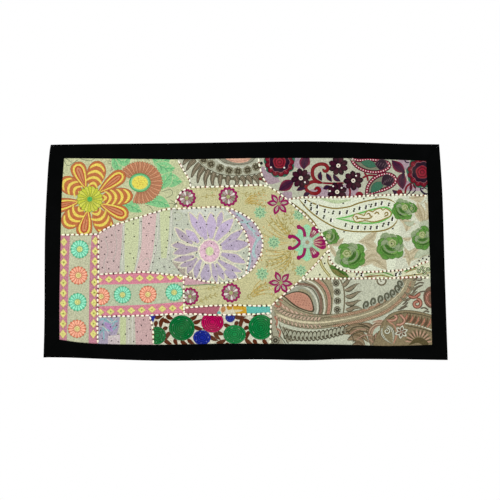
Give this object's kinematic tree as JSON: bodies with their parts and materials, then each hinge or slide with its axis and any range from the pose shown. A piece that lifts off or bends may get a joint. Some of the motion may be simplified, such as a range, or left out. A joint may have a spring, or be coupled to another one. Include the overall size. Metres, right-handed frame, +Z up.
{
  "type": "patchwork wall hanging",
  "caption": "Landscape patchwork wall hanging of old embroidered cotton pieces with couched seams and a plain black cotton border, hung flat by its top edge.",
  "frame": {"origin": "middle of the top edge, on the back, where the hanging meets the wall", "axes": "+X to the right as seen from the front, +Z up, and the front faces -Y, so +Y points into the wall"},
  "size_m": [1, 0.0119, 0.5433],
  "materials": {
    "border_cotton": "plain woven cotton, matt black",
    "marigold_cloth": "printed and embroidered cotton, faded, matt",
    "band_cloth": "printed and embroidered cotton, faded, matt",
    "stripe_cloth": "printed and embroidered cotton, faded, matt",
    "lilac_cloth": "printed and embroidered cotton, faded, matt",
    "tan_cloth": "printed and embroidered cotton, faded, matt",
    "sage_cloth": "printed and embroidered cotton, faded, matt",
    "damson_cloth": "printed and embroidered cotton, faded, matt",
    "rose_cloth": "printed and embroidered cotton, faded, matt",
    "cream_cloth": "printed and embroidered cotton, faded, matt",
    "paisley_cloth": "printed and embroidered cotton, faded, matt",
    "disc_cloth": "printed and embroidered cotton, faded, matt",
    "remnant_cloth": "printed and embroidered cotton, faded, matt",
    "lace_thread": "cream cord couched with brown thread, slightly shiny",
    "sequin": "small dark sewn dots, slightly shiny"
  },
  "bodies": {
    "root": {"marigold_patch": "marigold_cloth", "rosette_band_upright": "band_cloth", "rosette_band_level": "band_cloth", "striped_flower_patch": "stripe_cloth", "crescent_patch": "lilac_cloth", "arch_patch": "tan_cloth", "feather_print_patch": "sage_cloth", "damson_floral_patch": "damson_cloth", "rose_patch": "rose_cloth", "cream_sliver_patch": "cream_cloth", "paisley_print_patch": "paisley_cloth", "disc_patch": "disc_cloth", "remnant_strip": "remnant_cloth", "lilac_corner_patch": "lilac_cloth", "border_top": "border_cotton", "border_foot": "border_cotton", "border_left": "border_cotton", "border_right": "border_cotton"}
  },
  "joints": []
}
